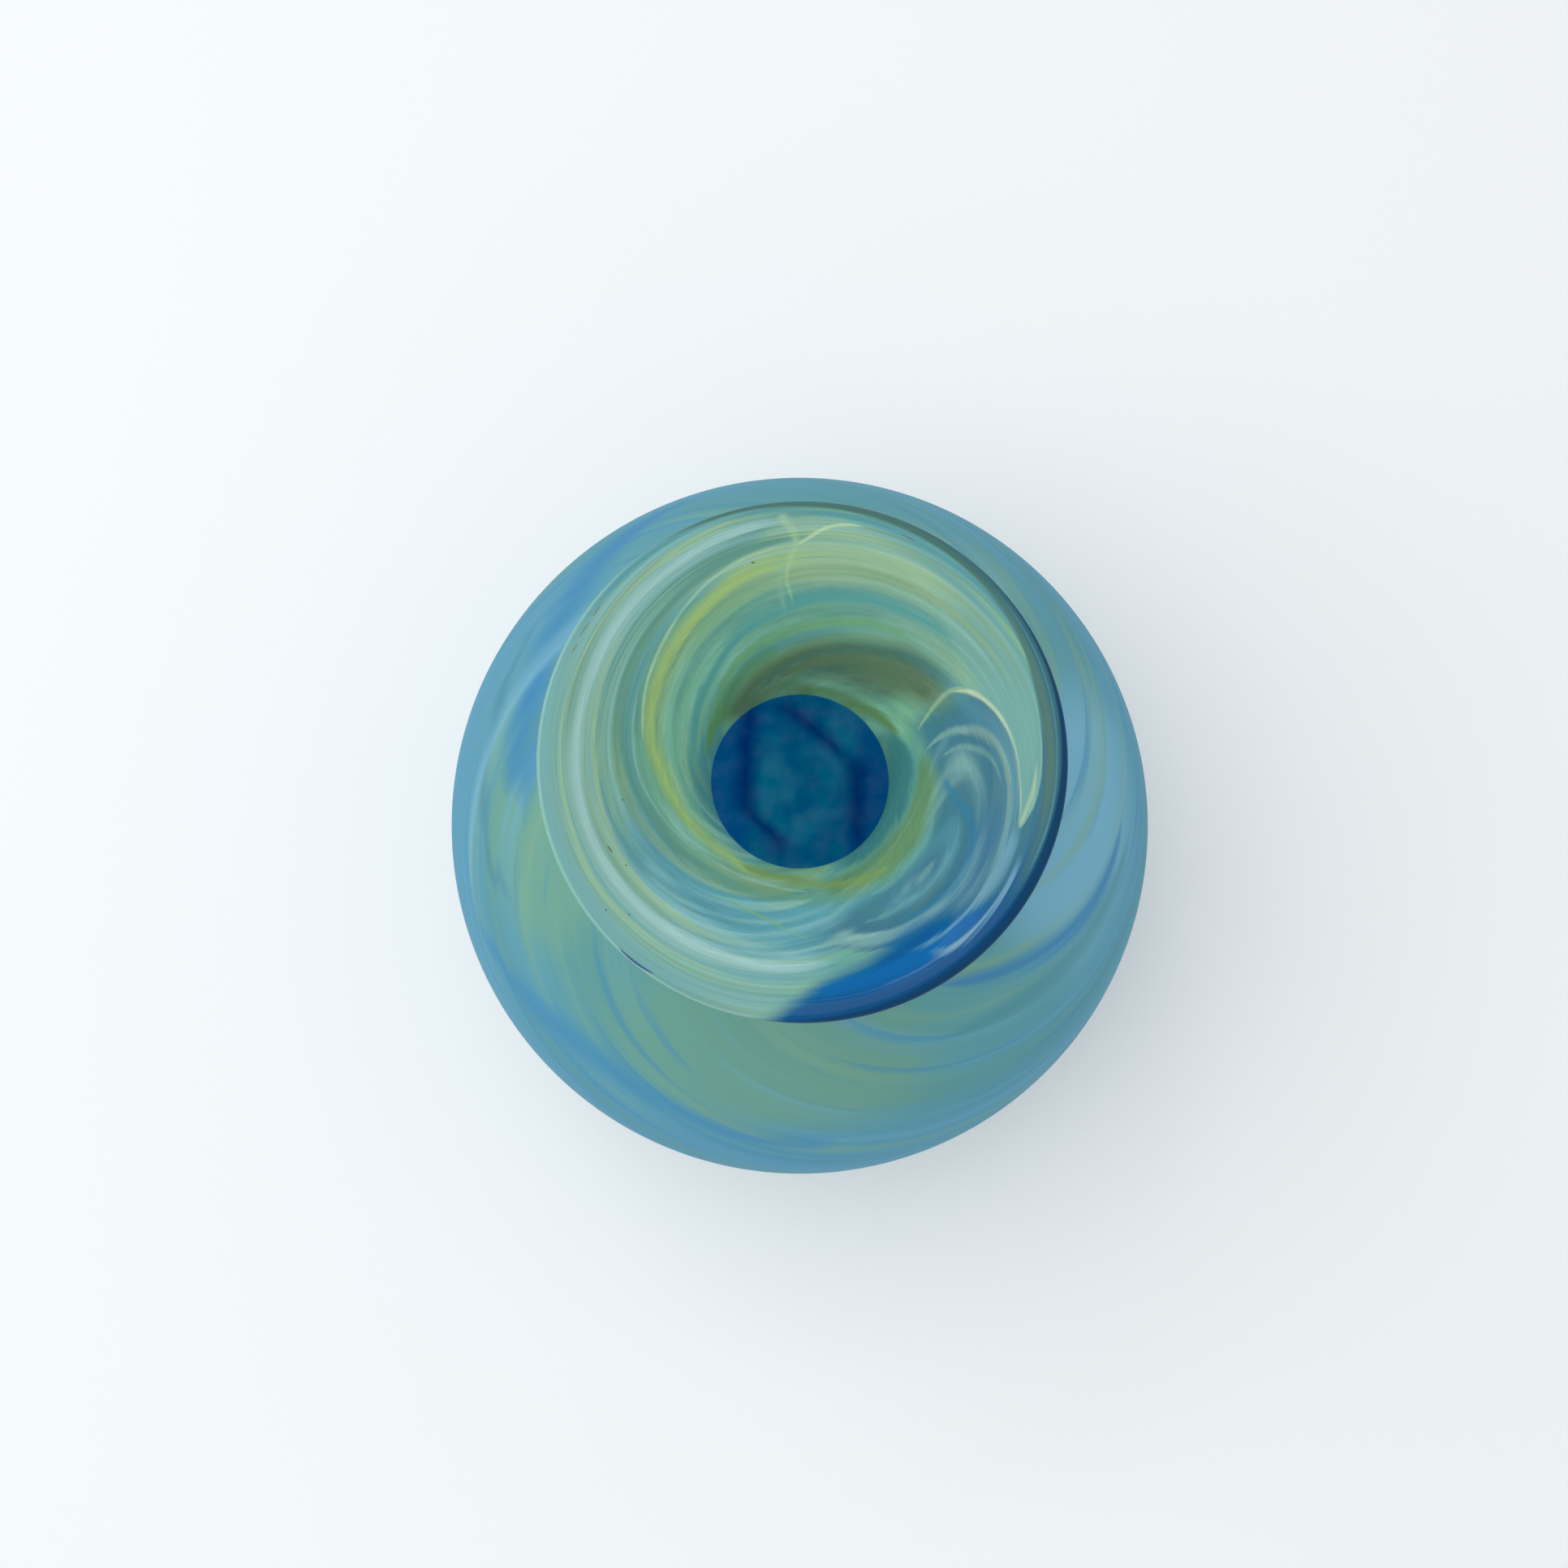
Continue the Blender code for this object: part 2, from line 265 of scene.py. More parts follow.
class Glass:
    """The shader of one kind of glass."""

    def __init__(self, name):
        self.material = bpy.data.materials.new(name)
        self.material.use_nodes = True
        self.tree = self.material.node_tree
        self.surface = self.tree.nodes["Principled BSDF"]
        self.place = self.node("ShaderNodeTexCoord", output="Object")
        self.x = self.node("ShaderNodeSeparateXYZ", inputs={0: self.place}, output="X")
        self.y = self.node("ShaderNodeSeparateXYZ", inputs={0: self.place}, output="Y")
        self.z = self.node("ShaderNodeSeparateXYZ", inputs={0: self.place}, output="Z")
        self.radius = self.maths("SQRT", self.x * self.x + self.y * self.y)
        self.turn = self.maths("ARCTAN2", self.y, self.x) * (1 / math.tau)
        self.measure_laps()

    def measure_laps(self):
        """The way round the vase from 0 to 1, counted from +X and from -X."""
        self.lap_from_right = self.maths("FRACT", self.turn)
        self.lap_from_left = self.turn + 0.5

    def node(self, kind, settings=None, inputs=None, output=0):
        node = self.tree.nodes.new(kind)
        for name, value in (settings or {}).items():
            if name == "points":
                self.draw_curve(node.mapping, value)
            else:
                setattr(node, name, value)
        for name, value in (inputs or {}).items():
            self.feed(node.inputs[name], value)
        return Wire(self, node.outputs[output])

    def draw_curve(self, mapping, points):
        curve = mapping.curves[0]
        while len(curve.points) < len(points):
            curve.points.new(0.5, 0.5)
        for point, place in zip(curve.points, points):
            point.location = place
        mapping.update()

    def feed(self, socket, value):
        if isinstance(value, Wire):
            self.tree.links.new(value.socket, socket)
        else:
            socket.default_value = value

    def maths(self, operation, *values):
        return self.node("ShaderNodeMath", {"operation": operation}, dict(enumerate(values)))

    def mix(self, factor, first, second):
        settings = {"data_type": "RGBA", "blend_type": "MIX"}
        return self.node("ShaderNodeMix", settings, {0: factor, 6: first, 7: second}, output=2)

    def ramp(self, value, low, high):
        """0 at low and 1 at high, easing in and out."""
        settings = {"interpolation_type": "SMOOTHSTEP"}
        return self.node("ShaderNodeMapRange", settings, {0: value, 1: low, 2: high})

    def noise(self, vector, scale, detail=2.0, roughness=0.5, seed=0.0):
        shift = {"operation": "ADD"}
        moved = self.node("ShaderNodeVectorMath", shift, {0: vector, 1: (seed, -seed, seed * 2)})
        inputs = {"Vector": moved, "Scale": scale, "Detail": detail, "Roughness": roughness}
        return self.node("ShaderNodeTexNoise", inputs=inputs)

    def vector(self, x, y, z):
        return self.node("ShaderNodeCombineXYZ", inputs={0: x, 1: y, 2: z})

    def set(self, **values):
        for name, value in values.items():
            self.feed(self.surface.inputs[name.replace("_", " ")], value)


def colour(red, green, blue):
    """A colour by its screen values from 0 to 255, as light."""
    def light(value):
        share = value / 255
        return share / 12.92 if share <= 0.04045 else ((share + 0.055) / 1.055) ** 2.4
    return (light(red), light(green), light(blue), 1.0)


def curl(glass, twist):
    """Object space turned about the vase's axis by an amount that grows along the wall."""
    angle = glass.turn * math.tau + twist
    across = glass.maths("COSINE", angle)
    beside = glass.maths("SINE", angle)
    return across, beside


LOW, HIGH = -0.4, 1.4  # the lines below are drawn between these places on the wall
SPAN = HIGH - LOW


def scaled(place):
    """A number of the tables as a share of the height that lines are drawn in."""
    return (place - LOW) / SPAN


def scaled_wall(wall):
    """The same for a wire."""
    return (wall - LOW) * (1 / SPAN)


def drawn(glass, along, stations, values):
    """A drawn line: the values it takes at its stations, eased in between."""
    return glass.node("ShaderNodeFloatCurve", {"points": list(zip(stations, values))}, {"Value": along})


def lap(glass, bearings):
    """The way round the vase from 0 to 1, from a seam that the bearings don't cross."""
    if bearings[0] >= 0 and bearings[-1] <= 360:
        return glass.lap_from_right, [bearing / 360 for bearing in bearings]
    turned_back = 360 if bearings[0] >= 180 else 0
    return glass.lap_from_left, [(bearing - turned_back) / 360 + 0.5 for bearing in bearings]


def streak(glass, wall, soft, *points):
    """How much of a streak lies at each place: 1 on its middle and 0 past its edges.

    Each point is a bearing in degrees, a place on the wall and a half width.
    """
    bearings, places, halves = zip(*points)
    along, stations = lap(glass, bearings)
    centre = drawn(glass, along, stations, [scaled(place) for place in places])
    half = drawn(glass, along, stations, [half / SPAN for half in halves])
    off = abs(wall - centre) / glass.maths("MAXIMUM", half, 0.0001)
    tips = max(halves) / SPAN * 0.6 * soft
    return glass.ramp(off, 1.0, 1.0 - soft) * glass.ramp(half, 0.0, tips)


def feather(glass, wall, soft, *points):
    """A streak that runs down the wall: each point is a place, a bearing and a half width."""
    places, bearings, halves = zip(*points)
    stations = [scaled(place) for place in places]
    along, turned_back = glass.lap_from_right, 0.0
    if min(bearings) < 0 or max(bearings) < 60:
        along, turned_back = glass.lap_from_left, 0.5
    centre = drawn(glass, wall, stations, [bearing / 360 + turned_back for bearing in bearings])
    half = drawn(glass, wall, stations, [half / 30 for half in halves])
    off = abs(along - centre) * 12.0 / glass.maths("MAXIMUM", half, 0.001)
    return glass.ramp(off, 1.0, 1.0 - soft) * glass.ramp(half, 0.0, max(halves) / 30 * 0.6 * soft)


def patch(glass, wall, soft, *points):
    """A patch of colour between two drawn lines. Each point is a bearing, a low and a high edge.

    Its softness is that of the low edge, of the high edge and of the ends in degrees.
    """
    low_soft, high_soft, *fades = soft
    low_soft, high_soft = low_soft / SPAN, high_soft / SPAN
    rise, fall = fades[0] / 360, fades[-1] / 360
    bearings, lows, highs = zip(*points)
    along, stations = lap(glass, bearings)
    low = drawn(glass, along, stations, [scaled(place) for place in lows])
    high = drawn(glass, along, stations, [scaled(place) for place in highs])
    over = glass.ramp(wall - low, -low_soft, low_soft)
    under = glass.ramp(high - wall, -high_soft, high_soft)
    start, end = stations[0], stations[-1]
    return over * under * glass.ramp(along, start, start + rise) * glass.ramp(along, end, end - fall)


def speck(glass, wall, soft, *points):
    """Small inclusions: each point is a bearing, a place, a half length in degrees and its slant."""
    total = 0.0
    for bearing, place, half, slant in points:
        here = glass.lap_from_right * 360 - bearing
        rise = (wall - place) * 130 - here * slant
        off = here * here * (1 / half**2) + rise * rise * (1 / 0.45**2)
        total = glass.ramp(1 - off, 0.0, soft) + total
    return total


# ---------------------------------------------------------------- the colours in the glass

GREEN = colour(96, 148, 118)
LIME = colour(148, 178, 112)
MILK = colour(154, 191, 188)
SKY = colour(90, 148, 160)
COBALT = colour(0, 84, 136)
NAVY = colour(26, 64, 100)

# Bearings are in degrees, and places run from 0 at the throat's edge to 1 at the lip's edge.
# name, colour, strength, softness below, above and at the ends, then bearing, low and high edge
TRUMPET_PATCHES = (
    ("pale side", colour(120, 166, 156), 1.0, (0.10, 0.06, 25), (90, 0.88, 0.94), (120, 0.80, 1.02),
     (150, 0.66, 1.1), (180, 0.58, 1.1), (210, 0.52, 1.1), (240, 0.50, 1.1), (262, 0.56, 1.1),
     (285, 0.62, 1.05)),
    ("pale top", colour(108, 154, 142), 1.0, (0.12, 0.04, 20), (-20, 0.60, 0.88), (10, 0.56, 0.88),
     (40, 0.46, 0.90), (70, 0.48, 0.92), (95, 0.58, 0.93), (115, 0.72, 0.93), (138, 0.84, 0.94)),
    ("crest", colour(142, 176, 142), 0.95, (0.08, 0.04, 26), (34, 0.70, 0.80), (60, 0.66, 0.85),
     (90, 0.58, 0.88), (103, 0.62, 0.78), (116, 0.62, 0.68), (126, 0.60, 0.64)),
    ("under the ribbon", colour(116, 170, 146), 0.9, (0.05, 0.06, 20), (108, 0.30, 0.44),
     (130, 0.20, 0.44), (150, 0.16, 0.40), (168, 0.13, 0.32), (184, 0.10, 0.22), (200, 0.06, 0.14)),
    ("sky below", SKY, 0.95, (0.06, 0.08, 25), (176, 0.42, 0.50), (200, 0.36, 0.54),
     (225, 0.26, 0.60), (250, 0.20, 0.62), (270, 0.19, 0.62), (290, 0.22, 0.52), (320, 0.28, 0.40)),
    ("milk pond", colour(130, 178, 180), 0.8, (0.05, 0.05, 14), (206, 0.48, 0.54),
     (225, 0.46, 0.62), (245, 0.48, 0.62), (262, 0.52, 0.60), (280, 0.56, 0.60)),
    ("slate side", colour(66, 112, 128), 1.0, (0.07, 0.02, 24, 10), (266, 0.42, 0.50),
     (280, 0.36, 0.54), (292, 0.30, 0.61), (305, 0.28, 0.72), (330, 0.28, 0.76),
     (345, 0.26, 0.765), (352, 0.26, 0.755), (360, 0.24, 0.73), (367, 0.22, 0.705),
     (374, 0.20, 0.67), (380, 0.20, 0.62), (385, 0.20, 0.55), (390, 0.20, 0.40)),
    ("blue shade", colour(48, 100, 134), 0.6, (0.08, 0.05, 16), (292, 0.56, 0.64),
     (310, 0.53, 0.70), (335, 0.53, 0.70), (354, 0.54, 0.68)),
    ("dusk below the ribbon", colour(78, 122, 110), 0.7, (0.04, 0.05, 20), (222, 0.14, 0.19),
     (245, 0.12, 0.21), (270, 0.11, 0.22), (288, 0.15, 0.25), (304, 0.20, 0.27)),
    ("lime by the throat", colour(90, 126, 92), 0.95, (0.04, 0.05, 14), (276, 0.07, 0.16),
     (300, 0.07, 0.23), (315, 0.07, 0.24), (330, 0.09, 0.25), (345, 0.11, 0.24), (358, 0.12, 0.25),
     (376, 0.14, 0.22)),
    ("teal by the throat", colour(54, 108, 108), 0.9, (0.02, 0.03, 20), (285, -0.1, 0.04),
     (320, -0.1, 0.07), (350, -0.1, 0.09), (375, -0.1, 0.10), (400, -0.1, 0.06)),
    ("teal throat left", colour(74, 132, 138), 0.8, (0.02, 0.03, 20), (140, -0.1, 0.03),
     (165, -0.1, 0.09), (190, -0.1, 0.08), (215, -0.1, 0.03), (240, -0.1, 0.0)),
)

# the olive brown shadow above the throat: softness below, above and at the ends, then its outline
SHADOW = ((0.08, 0.07, 20), (16, 0.32, 0.48), (32, 0.26, 0.47), (45, 0.14, 0.45), (60, 0.08, 0.37),
          (75, 0.08, 0.30), (90, 0.05, 0.24), (105, 0.03, 0.18), (120, 0.0, 0.12), (146, -0.02, 0.04))

# the eddy on the far side of the hook: softness below, above and at the ends, then its outline
EDDY = ((0.06, 0.05, 30), (268, 0.22, 0.62), (290, 0.0, 0.66), (330, -0.2, 0.74), (352, -0.2, 0.74),
        (367, -0.2, 0.69), (380, -0.1, 0.62), (392, 0.05, 0.50), (400, 0.10, 0.46))

# name, colour, strength, softness, then bearing, place and half width
TRUMPET_STREAKS = (
    ("green throat edge", colour(90, 124, 78), 0.85, 0.9, (20, 0.10, 0), (38, 0.06, 0.05),
     (52, 0.03, 0.05), (75, 0.02, 0.05), (95, 0.03, 0.05), (120, 0.02, 0.05), (142, 0.05, 0.04),
     (168, 0.0, 0)),
    ("teal arc", colour(84, 146, 142), 0.9, 0.9, (34, 0.66, 0), (51, 0.60, 0.04), (69, 0.55, 0.05),
     (85, 0.50, 0.06), (100, 0.42, 0.06), (115, 0.36, 0.05), (127, 0.28, 0.05), (145, 0.20, 0.05),
     (165, 0.12, 0.04), (190, 0.06, 0)),
    ("green arc", colour(104, 152, 112), 0.9, 0.9, (42, 0.50, 0), (62, 0.44, 0.04), (75, 0.38, 0.05),
     (90, 0.32, 0.06), (105, 0.27, 0.06), (120, 0.22, 0.05), (135, 0.13, 0.04), (158, 0.04, 0)),
    ("lime ribbon", LIME, 1.0, 1.0, (76, 0.75, 0), (92, 0.70, 0.035), (105, 0.66, 0.05),
     (120, 0.58, 0.06), (135, 0.50, 0.07), (150, 0.43, 0.08), (165, 0.36, 0.08), (180, 0.26, 0.085),
     (195, 0.19, 0.07), (210, 0.13, 0.07), (225, 0.085, 0.06), (240, 0.07, 0.045),
     (255, 0.06, 0.03), (270, 0.06, 0)),
    ("olive end of the ribbon", colour(112, 140, 88), 0.9, 1.0, (232, 0.07, 0), (246, 0.06, 0.04),
     (260, 0.055, 0.05), (272, 0.07, 0.05), (285, 0.11, 0.05), (300, 0.17, 0.045), (318, 0.20, 0)),
    ("green foot", colour(90, 138, 84), 0.9, 1.0, (96, 0.22, 0), (110, 0.17, 0.05),
     (125, 0.12, 0.06), (140, 0.07, 0.06), (155, 0.04, 0.05), (170, 0.01, 0)),
    ("olive ribbon", colour(94, 142, 128), 0.95, 0.9, (82, 0.83, 0), (98, 0.79, 0.03),
     (112, 0.75, 0.05), (125, 0.70, 0.055), (138, 0.65, 0.06), (150, 0.61, 0.06), (165, 0.55, 0.06),
     (180, 0.47, 0.05), (195, 0.38, 0.05), (210, 0.31, 0.05), (225, 0.24, 0.055), (240, 0.21, 0.055),
     (255, 0.19, 0.05), (270, 0.18, 0.05), (285, 0.21, 0.04), (305, 0.27, 0)),
    ("inner lime line", colour(150, 180, 138), 0.85, 0.9, (136, 0.77, 0), (150, 0.735, 0.02),
     (165, 0.70, 0.035), (180, 0.655, 0.035), (195, 0.635, 0.035), (210, 0.61, 0.04),
     (227, 0.585, 0.03), (250, 0.55, 0)),
    ("milk ribbon", MILK, 0.9, 1.0, (90, 0.90, 0), (104, 0.875, 0.05), (120, 0.845, 0.08),
     (135, 0.82, 0.09), (150, 0.80, 0.075), (165, 0.78, 0.06), (180, 0.77, 0.08),
     (195, 0.76, 0.06), (210, 0.735, 0.07), (225, 0.70, 0.085), (240, 0.67, 0.09),
     (255, 0.655, 0.06), (270, 0.63, 0.045), (284, 0.59, 0)),
    ("outer lime line", colour(146, 180, 142), 0.8, 0.9, (103, 0.925, 0), (114, 0.905, 0.02),
     (127, 0.90, 0.016), (145, 0.885, 0.016), (165, 0.875, 0.022), (180, 0.865, 0.026),
     (195, 0.855, 0.032), (210, 0.85, 0.03), (225, 0.82, 0.026), (240, 0.785, 0.024),
     (256, 0.76, 0)),
)

TRUMPET_THREADS = (
    ("ribbon's pale edge", colour(150, 190, 160), 0.9, 0.9, (92, 0.76, 0), (103, 0.735, 0.012),
     (115, 0.685, 0.014), (127, 0.62, 0.014), (138, 0.56, 0.014), (150, 0.50, 0.014),
     (160, 0.445, 0.012), (172, 0.38, 0)),
    ("teal thread", colour(84, 140, 142), 0.8, 0.9, (138, 0.60, 0), (150, 0.56, 0.012),
     (165, 0.51, 0.012), (180, 0.455, 0.014), (195, 0.39, 0.014), (212, 0.33, 0.01), (228, 0.30, 0)),
    ("pale thread", colour(134, 178, 168), 0.6, 1.0, (150, 0.535, 0), (165, 0.475, 0.014),
     (180, 0.41, 0.016), (195, 0.32, 0.016), (210, 0.24, 0.018), (225, 0.17, 0.02),
     (240, 0.135, 0.02), (256, 0.12, 0.018), (280, 0.15, 0)),
    ("lime wisp", colour(112, 158, 122), 0.8, 0.9, (238, 0.30, 0), (246, 0.315, 0.014),
     (254, 0.33, 0.018), (262, 0.365, 0.016), (268, 0.41, 0.012), (274, 0.45, 0)),
    ("cream wisp", colour(140, 176, 166), 0.5, 1.0, (258, 0.57, 0), (264, 0.545, 0.02),
     (270, 0.525, 0.024), (276, 0.505, 0.022), (285, 0.49, 0.035), (293, 0.51, 0.02), (299, 0.53, 0)),
)

TONGUE_PATCHES = (
    ("slate corner", colour(54, 106, 126), 0.95, (0.03, 0.03, 16), (308, 0.82, 0.96),
     (325, 0.78, 0.96), (338, 0.765, 0.96), (350, 0.765, 0.96), (362, 0.84, 0.96),
     (378, 0.86, 0.93)),
    ("tongue", colour(107, 156, 150), 0.85, (0.008, 0.008, 3, 22), (342, 0.78, 0.79), (346, 0.765, 0.82),
     (350, 0.757, 0.845), (355, 0.742, 0.858), (360, 0.73, 0.866), (367, 0.705, 0.871),
     (374, 0.67, 0.875), (380, 0.62, 0.878), (385, 0.57, 0.878), (396, 0.56, 0.88)),
)

SLATE_STREAKS = (
    ("blue whirl", colour(52, 114, 142), 0.8, 1.0, (300, 0.48, 0), (312, 0.56, 0.05),
     (325, 0.60, 0.04), (336, 0.56, 0.05), (345, 0.46, 0.07), (352, 0.36, 0.05), (360, 0.30, 0)),
    ("pale whirl", colour(92, 142, 148), 0.8, 1.0, (290, 0.42, 0), (303, 0.44, 0.03),
     (318, 0.46, 0.02), (332, 0.45, 0.02), (345, 0.40, 0)),
    ("pale floor of whirl", colour(100, 148, 150), 0.8, 1.0, (292, 0.27, 0), (310, 0.28, 0.03),
     (330, 0.28, 0.03), (345, 0.27, 0)),
    ("olive whirl", colour(80, 116, 118), 0.7, 1.0, (306, 0.50, 0), (316, 0.49, 0.03),
     (326, 0.50, 0)),
    ("inner hook", colour(112, 140, 134), 0.9, 0.9, (318, 0.715, 0), (332, 0.725, 0.016),
     (345, 0.715, 0.02), (356, 0.68, 0.028), (364, 0.63, 0.04), (371, 0.52, 0.06), (376, 0.38, 0)),
)

SLATE_FEATHERS = (
    ("pale inner arc", colour(112, 150, 146), 0.9, 0.9, (0.16, 8, 0), (0.25, 13, 1.2),
     (0.35, 15, 2.2), (0.45, 14, 2.4), (0.55, 11.5, 2.4), (0.64, 4, 3.0), (0.70, -6, 0)),
    ("second inner arc", colour(104, 146, 142), 0.8, 0.9, (0.28, 6, 0), (0.38, 8.5, 1.6),
     (0.48, 7, 2.0), (0.58, 2, 2.0), (0.64, -6, 0)),
)

HOOK_STREAKS = (
    ("tongue's crisp edge", colour(118, 165, 152), 0.8, 0.8, (342, 0.785, 0), (347, 0.825, 0.012),
     (352, 0.85, 0.012), (359, 0.862, 0.010), (372, 0.872, 0.007), (392, 0.88, 0)),
    ("hook's tip", colour(160, 184, 150), 0.7, 1.0, (342.5, 0.785, 0), (346, 0.795, 0.026),
     (350, 0.815, 0.030), (355, 0.83, 0.02), (362, 0.84, 0)),
    ("hook's line", colour(170, 190, 158), 0.95, 0.9, (343, 0.785, 0), (350, 0.760, 0.010),
     (356, 0.741, 0.009), (363, 0.722, 0.010), (370, 0.690, 0.014), (376, 0.650, 0.02),
     (381, 0.60, 0.024), (385, 0.54, 0.034), (388, 0.44, 0)),
    ("navy sliver", colour(44, 66, 124), 0.9, 0.9, (226, 0.99, 0), (231, 0.99, 0.012),
     (237, 0.975, 0)),
    ("arm of the split", colour(168, 196, 160), 0.9, 0.9, (74, 0.895, 0), (78, 0.89, 0.014),
     (82, 0.87, 0.016), (85, 0.84, 0.016), (88, 0.80, 0.02), (91, 0.76, 0)),
)

# name, colour, strength, softness, then place from throat to lip, bearing, half width in degrees
HOOK_FEATHERS = (
    ("hook's start", colour(140, 170, 140), 0.8, 1.0, (0.18, 20, 0), (0.26, 24, 1.2),
     (0.36, 27, 1.5), (0.46, 28, 1.5), (0.56, 25.5, 0)),
    ("stem of the split", colour(154, 188, 148), 0.6, 1.0, (0.44, 92, 0), (0.50, 93, 0.9),
     (0.60, 94, 1.2), (0.70, 92.5, 1.4), (0.78, 91, 1.6), (0.84, 92, 2.2), (0.90, 94, 2.4),
     (0.93, 94, 0)),
    ("second stem", colour(130, 174, 144), 0.4, 1.0, (0.40, 95, 0), (0.50, 96, 1.6),
     (0.62, 96, 2.0), (0.76, 94, 0)),
)

COBALT_PATCHES = (
    ("cobalt", COBALT, 1.0, (0.09, 0.05, 10), (258, 1.04, 1.3), (264, 0.96, 1.3), (269, 0.86, 1.3),
     (274, 0.775, 1.3), (280, 0.715, 1.3), (288, 0.67, 1.3), (296, 0.62, 1.3), (304, 0.61, 1.3),
     (312, 0.66, 1.3), (320, 0.76, 1.3), (330, 0.87, 1.3), (345, 0.92, 1.3), (360, 0.98, 1.3),
     (375, 1.02, 1.3)),
    ("deep cobalt", colour(4, 76, 122), 0.9, (0.03, 0.05, 20), (262, 0.88, 1.3), (280, 0.87, 1.3),
     (300, 0.885, 1.3), (325, 0.89, 1.3), (350, 0.93, 1.3)),
    ("bright cobalt", colour(2, 98, 158), 0.9, (0.03, 0.04, 10), (268, 0.84, 0.86),
     (280, 0.74, 0.84), (295, 0.72, 0.84), (310, 0.72, 0.84), (325, 0.78, 0.82)),
    # painted reflection: the pale outline of a window on the glossy wall, in two lines
    ("light outline", colour(112, 152, 174), 0.9, (0.012, 0.015, 8), (302, 0.77, 0.80),
     (309, 0.83, 0.875), (318, 0.845, 0.875), (328, 0.85, 0.87), (338, 0.84, 0.855)),
    ("light outline below", colour(100, 144, 164), 0.85, (0.012, 0.02, 8), (298, 0.70, 0.72),
     (308, 0.725, 0.745), (322, 0.74, 0.79), (335, 0.75, 0.80), (346, 0.76, 0.78)),
)

# The lip's edge is painted pale on the left, mid blue on top and slate on the right: partly the glass's
# own colour, partly painted shade on the side away from the light.
LIP_PATCHES = (
    ("clear green edge", colour(104, 154, 154), 0.8, (0.05, 0.05, 25), (100, 0.945, 1.2),
     (140, 0.93, 1.2), (165, 0.91, 1.2), (200, 0.90, 1.2), (235, 0.90, 1.2), (262, 0.93, 1.2)),
    ("blue top edge", colour(78, 138, 146), 0.9, (0.015, 0.02, 20), (18, 0.93, 0.95),
     (40, 0.92, 0.955), (60, 0.91, 0.95), (85, 0.92, 0.95), (110, 0.95, 0.965), (135, 0.95, 0.985),
     (156, 0.95, 0.965)),
    # painted highlight along the lip's left edge
    ("bright rim line", colour(138, 182, 172), 0.8, (0.007, 0.006, 20), (124, 0.99, 1.03),
     (180, 0.988, 1.03), (225, 0.988, 1.03), (264, 0.992, 1.03)),
    ("slate edge", colour(60, 104, 114), 0.95, (0.014, 0.05, 24), (318, 0.90, 1.3),
     (345, 0.885, 1.3), (360, 0.882, 1.3), (376, 0.895, 1.3), (390, 0.93, 1.3), (408, 0.95, 1.3),
     (435, 0.96, 1.3), (465, 0.97, 1.3), (490, 0.985, 1.3)),
    ("olive edge", colour(76, 112, 102), 0.9, (0.012, 0.012, 16), (340, 0.90, 0.935),
     (358, 0.892, 0.945), (375, 0.90, 0.945), (390, 0.935, 0.965), (412, 0.955, 0.985),
     (435, 0.965, 1.0), (465, 0.975, 1.0), (485, 0.985, 1.0)),
    ("navy edge", NAVY, 0.95, (0.012, 0.03, 25), (255, 1.0, 1.3), (275, 0.975, 1.3),
     (300, 0.955, 1.3), (320, 0.955, 1.3), (340, 0.962, 1.3), (356, 0.982, 1.3), (376, 1.0, 1.3),
     (400, 1.01, 1.3), (430, 1.02, 1.3)),
    ("pale hairline", colour(80, 134, 146), 0.8, (0.004, 0.004, 12), (330, 0.925, 0.935),
     (345, 0.945, 0.957), (360, 0.955, 0.965), (375, 0.965, 0.975), (392, 0.975, 0.982),
     (405, 0.98, 0.985)),
)

SPECKS = ((103, 0.70, 0.7, 0.6), (204, 0.67, 1.4, -0.7), (210, 0.625, 0.35, 0.0),
          (218, 0.885, 0.4, 0.0), (222, 0.79, 0.4, 0.0), (190, 0.51, 0.4, -0.3))
RUST_SPECKS = ((64, 0.925, 2.2, 0.1), (144, 0.948, 2.0, -0.2), (149, 0.946, 2.6, 0.1),
               (154, 0.94, 1.6, 0.2))


def paint(glass, base, wall, bands, strength=1.0, draw=streak):
    """Lays each band of a list over the colours so far."""
    wall = scaled_wall(wall)
    for name, tint, weight, soft, *points in bands:
        share = draw(glass, wall, soft, *points) * (strength * weight)
        share.socket.node.label = name
        base = glass.mix(share, base, tint)
    return base


COAT_GAIN = 1.08
COAT_WHITE = 0.010
COAT_WEIGHT = 0.28
DARKEST = 0.001


def deepen(glass, base, gain):
    """The coat adds a little white to every colour, so the glass under it is a little deeper."""
    less = {"operation": "MULTIPLY_ADD"}
    deeper = glass.node("ShaderNodeVectorMath", less, {0: base, 1: gain, 2: (-COAT_WHITE,) * 3})
    return glass.node("ShaderNodeVectorMath", {"operation": "MAXIMUM"}, {0: deeper, 1: (DARKEST,) * 3})


LEAN_ACROSS = 0.00003  # the mouth's middle stands off the axis, and the wall bellies on the far side
LEAN_BACK = 0.0006
BELLY = 0.00126
PLACE_GAIN, PLACE_SHIFT = 1.03, 0.013  # the throat's edge is seen a little way down the neck


def trumpet_place(glass):
    """Bearing and share of the way from throat to lip, about the trumpet's own middle."""
    rise = glass.ramp(glass.z, NECK_HEIGHT, LIP_TOP)
    reach = (glass.radius - THROAT_RADIUS) * (1 / (LIP_RADIUS - THROAT_RADIUS))
    share = glass.maths("POWER", glass.maths("MINIMUM", glass.maths("MAXIMUM", reach, 0.001), 1.0), 0.75)
    x = glass.x - rise * LEAN_ACROSS
    y = glass.y - rise * LEAN_BACK + share * (1 - share) * (4 * BELLY)
    glass.turn = glass.maths("ARCTAN2", y, x) * (1 / math.tau)
    glass.measure_laps()
    glass.radius = glass.maths("SQRT", x * x + y * y)
    out = glass.radius - THROAT_RADIUS
    return out * (PLACE_GAIN / (LIP_RADIUS - THROAT_RADIUS)) - PLACE_SHIFT


